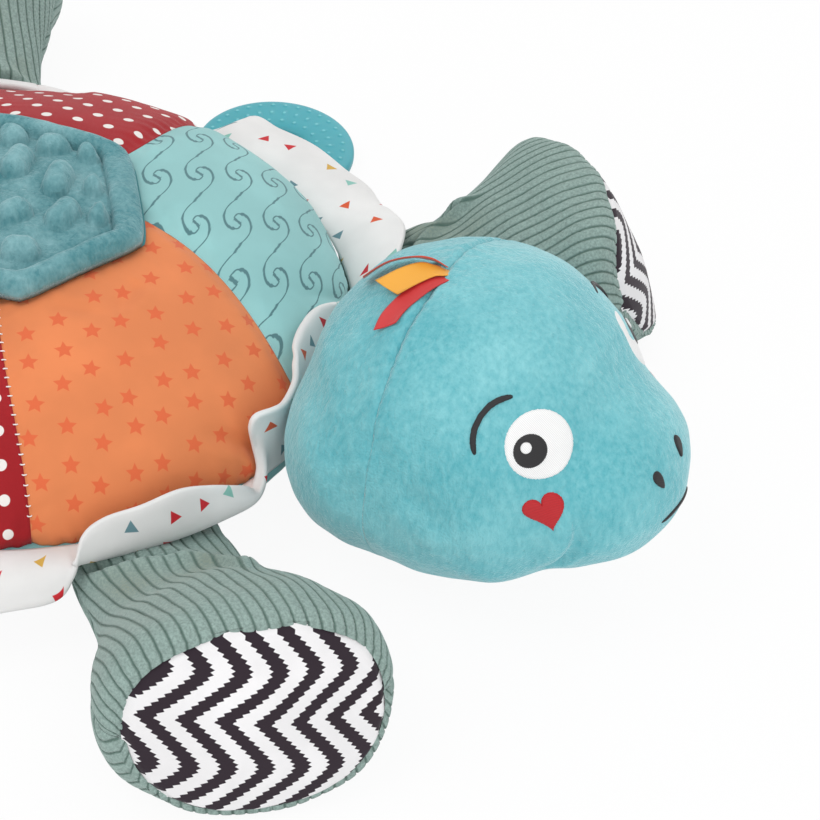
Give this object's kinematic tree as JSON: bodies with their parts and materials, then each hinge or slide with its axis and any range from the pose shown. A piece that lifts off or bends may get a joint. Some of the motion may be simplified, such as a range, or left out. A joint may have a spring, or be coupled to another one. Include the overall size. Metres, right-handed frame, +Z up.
{
  "type": "plush turtle",
  "caption": "Stuffed cloth turtle with a patchwork shell under a lifting flap, a ruffled rim, corduroy legs, ribbon tuft and a teether ring on a strap.",
  "frame": {"origin": "on the floor under the middle of the shell, on the flat belly", "axes": "+X from the shell to the head, +Y to the toy's left, +Z up"},
  "size_m": [0.5011, 0.4926, 0.1315],
  "materials": {
    "head_plush": "short minky plush pile",
    "flap_plush": "deep bubble plush pile",
    "corduroy": "wide-wale corduroy",
    "star_cotton": "smooth printed cotton, stars",
    "wave_cotton": "smooth printed cotton, scroll waves",
    "dot_cotton": "smooth printed cotton, dots",
    "ruffle_cotton": "smooth printed cotton, small triangles",
    "belly_cotton": "plain cotton",
    "zigzag_cotton": "printed cotton, zigzag stripes",
    "white_stitch": "satin stitch",
    "black_stitch": "satin stitch",
    "red_stitch": "satin stitch",
    "ribbon_yellow": "satin ribbon",
    "ribbon_red": "satin ribbon",
    "ribbon_orange": "satin ribbon",
    "teether_rubber": "matte silicone with raised dots",
    "fibre_filling": "loose polyester fibre"
  },
  "bodies": {
    "shell": {"shell_filling": "fibre_filling", "belly_panel": "belly_cotton", "shell_panel_front_left": "wave_cotton", "shell_panel_left": "dot_cotton", "shell_panel_rear_left": "star_cotton", "shell_panel_rear_right": "wave_cotton", "shell_panel_right": "dot_cotton", "shell_panel_front_right": "star_cotton", "shell_top_panel": "belly_cotton", "ruffle": "ruffle_cotton"},
    "flap": {"flap_top": "flap_plush", "flap_lining": "belly_cotton"},
    "neck": {"neck_stub": "head_plush"},
    "head": {"head_front_cover": "head_plush", "head_back_cover": "head_plush", "head_filling": "fibre_filling", "eye_white_right": "white_stitch", "eye_white_left": "white_stitch", "eye_pupil_right": "black_stitch", "eye_pupil_left": "black_stitch", "eye_glint_right": "white_stitch", "eye_glint_left": "white_stitch", "brow_right": "black_stitch", "brow_left": "black_stitch", "cheek_heart_right": "red_stitch", "cheek_heart_left": "red_stitch", "nostril_right": "black_stitch", "nostril_left": "black_stitch", "mouth_stitch": "black_stitch"},
    "ribbon_tuft": {"ribbon_red": "ribbon_red", "ribbon_yellow": "ribbon_yellow", "ribbon_orange": "ribbon_orange"},
    "teether_strap": {"teether_strap": "wave_cotton"},
    "teether_ring": {"teether_ring": "teether_rubber"},
    "front_right_leg": {"front_right_cover": "corduroy", "front_right_sole": "zigzag_cotton", "front_right_filling": "fibre_filling"},
    "front_left_leg": {"front_left_cover": "corduroy", "front_left_sole": "zigzag_cotton", "front_left_filling": "fibre_filling"},
    "rear_right_leg": {"rear_right_cover": "corduroy", "rear_right_sole": "zigzag_cotton", "rear_right_filling": "fibre_filling"},
    "rear_left_leg": {"rear_left_cover": "corduroy", "rear_left_sole": "zigzag_cotton", "rear_left_filling": "fibre_filling"}
  },
  "joints": [
    {"name": "front_right_leg_lift", "type": "hinge", "parent": "shell", "child": "front_right_leg", "pos_m": [0.1107, -0.09794, 0.024], "axis": [-0.6626, -0.749, 0], "range_deg": [-50, 18]},
    {"name": "front_left_leg_lift", "type": "hinge", "parent": "shell", "child": "front_left_leg", "pos_m": [0.12254, 0.08266, 0.024], "axis": [0.5592, -0.829, 0], "range_deg": [-50, 18]},
    {"name": "rear_right_leg_lift", "type": "hinge", "parent": "shell", "child": "rear_right_leg", "pos_m": [-0.08688, -0.11958, 0.024], "axis": [-0.809, 0.5878, 0], "range_deg": [-50, 18]},
    {"name": "rear_left_leg_lift", "type": "hinge", "parent": "shell", "child": "rear_left_leg", "pos_m": [-0.08688, 0.11958, 0.024], "axis": [0.809, 0.5878, 0], "range_deg": [-50, 18]},
    {"name": "head_turn", "type": "hinge", "parent": "shell", "child": "neck", "pos_m": [0.15715, 0, 0.018], "axis": [0, 0, 1], "range_deg": [-8, 12]},
    {"name": "head_nod", "type": "hinge", "parent": "neck", "child": "head", "pos_m": [0.15715, 0, 0.018], "axis": [-0.1426, -0.9898, 0], "range_deg": [-30, 6]},
    {"name": "ribbon_tuft_lift", "type": "hinge", "parent": "head", "child": "ribbon_tuft", "pos_m": [0.19835, -0.00594, 0.12965], "axis": [0.1426, 0.9898, 0], "range_deg": [0, 60]},
    {"name": "flap_open", "type": "hinge", "parent": "shell", "child": "flap", "pos_m": [-0.00262, 0.04993, 0.08896], "axis": [-0.9986, -0.0523, 0], "range_deg": [0, 150]},
    {"name": "teether_swing", "type": "hinge", "parent": "shell", "child": "teether_strap", "pos_m": [0.03057, 0.1438, 0.024], "axis": [0.9781, -0.2079, 0], "range_deg": [-28, 6]},
    {"name": "teether_turn", "type": "hinge", "parent": "teether_strap", "child": "teether_ring", "pos_m": [0.03938, 0.18527, 0.0058], "axis": [0, 0, 1], "continuous": true}
  ]
}
